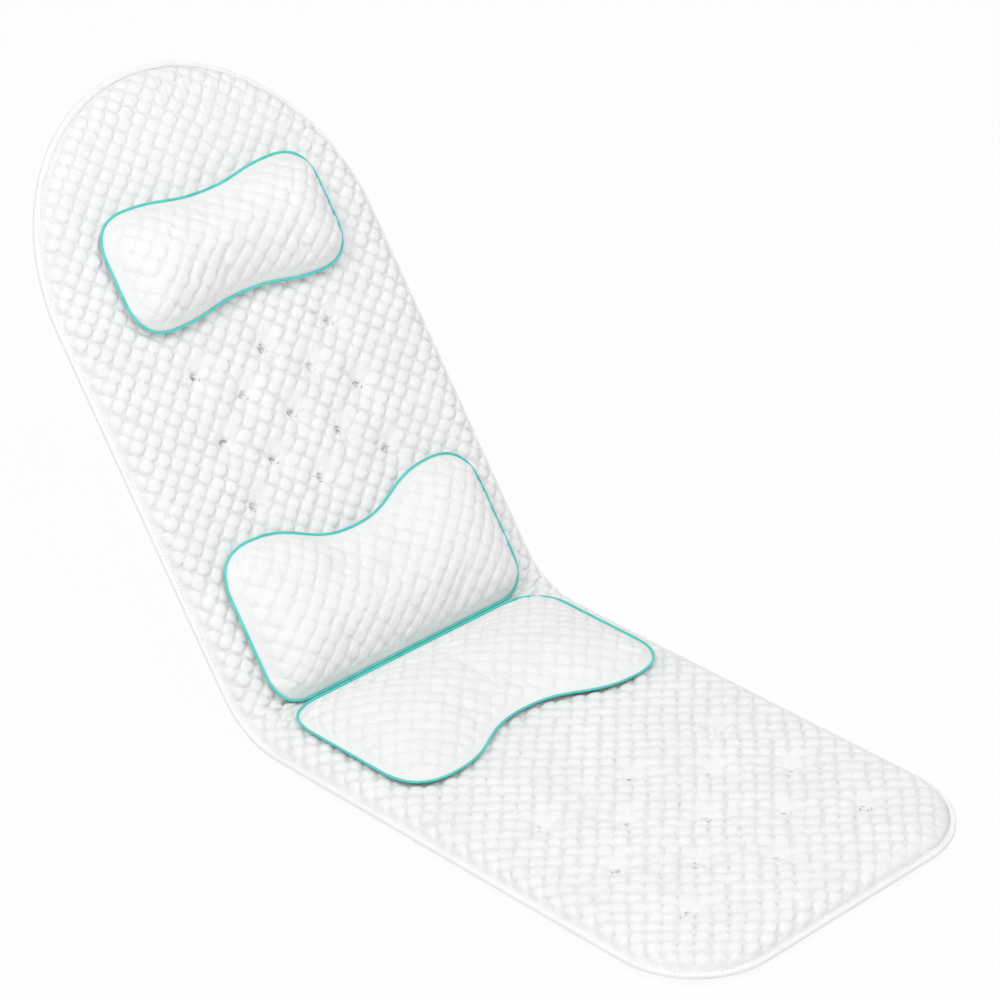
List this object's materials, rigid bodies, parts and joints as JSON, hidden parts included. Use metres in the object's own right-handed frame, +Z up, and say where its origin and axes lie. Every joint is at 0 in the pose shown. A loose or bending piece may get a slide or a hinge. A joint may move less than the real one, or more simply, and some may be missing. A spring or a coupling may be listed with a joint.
{
  "type": "bath pillow",
  "caption": "Full-length padded bath mat that folds at the seat, with sewn-on head, lumbar and seat pillows, a bound edge and suction cups underneath.",
  "frame": {"origin": "middle of the part's footprint on the tub floor, at the height of the leg half's suction-cup lips", "axes": "+Z up, +Y from the feet toward the head end, X across the mat"},
  "size_m": [0.4, 0.9484, 0.5203],
  "materials": {
    "quilted_mesh": "white quilted polyester mesh with small raised bubbles",
    "backing_cloth": "plain white open-mesh cloth",
    "fibre_fill": "loose white polyester fibre",
    "binding_tape": "white woven tape",
    "teal_piping": "teal cloth-covered cord",
    "clear_vinyl": "clear soft vinyl"
  },
  "bodies": {
    "seat": {"leg_cover": "quilted_mesh", "leg_padding": "fibre_fill", "leg_backing": "backing_cloth", "leg_binding": "binding_tape", "seat_pillow_top": "quilted_mesh", "seat_pillow_base": "quilted_mesh", "seat_pillow_fill": "fibre_fill", "seat_pillow_piping": "teal_piping", "fold_cover": "quilted_mesh", "fold_padding": "fibre_fill", "fold_backing": "backing_cloth", "fold_binding_left": "binding_tape", "fold_binding_right": "binding_tape", "leg_suction_cup_1": "clear_vinyl", "leg_suction_cup_2": "clear_vinyl", "leg_suction_cup_3": "clear_vinyl", "leg_suction_cup_4": "clear_vinyl", "leg_suction_cup_5": "clear_vinyl", "leg_suction_cup_6": "clear_vinyl"},
    "back": {"back_cover": "quilted_mesh", "back_padding": "fibre_fill", "back_backing": "backing_cloth", "back_binding": "binding_tape", "head_pillow_top": "quilted_mesh", "head_pillow_base": "quilted_mesh", "head_pillow_fill": "fibre_fill", "head_pillow_piping": "teal_piping", "lumbar_pillow_top": "quilted_mesh", "lumbar_pillow_base": "quilted_mesh", "lumbar_pillow_fill": "fibre_fill", "lumbar_pillow_piping": "teal_piping", "back_suction_cup_1": "clear_vinyl", "back_suction_cup_2": "clear_vinyl", "back_suction_cup_3": "clear_vinyl", "back_suction_cup_4": "clear_vinyl", "back_suction_cup_5": "clear_vinyl", "back_suction_cup_6": "clear_vinyl"}
  },
  "joints": [
    {"name": "back_fold", "type": "hinge", "parent": "seat", "child": "back", "pos_m": [0, 0.10078, 0.015], "axis": [1, 0, 0], "range_deg": [-54, 16], "deforming": ["fold_cover", "fold_padding", "fold_backing", "fold_binding_left", "fold_binding_right"]}
  ]
}
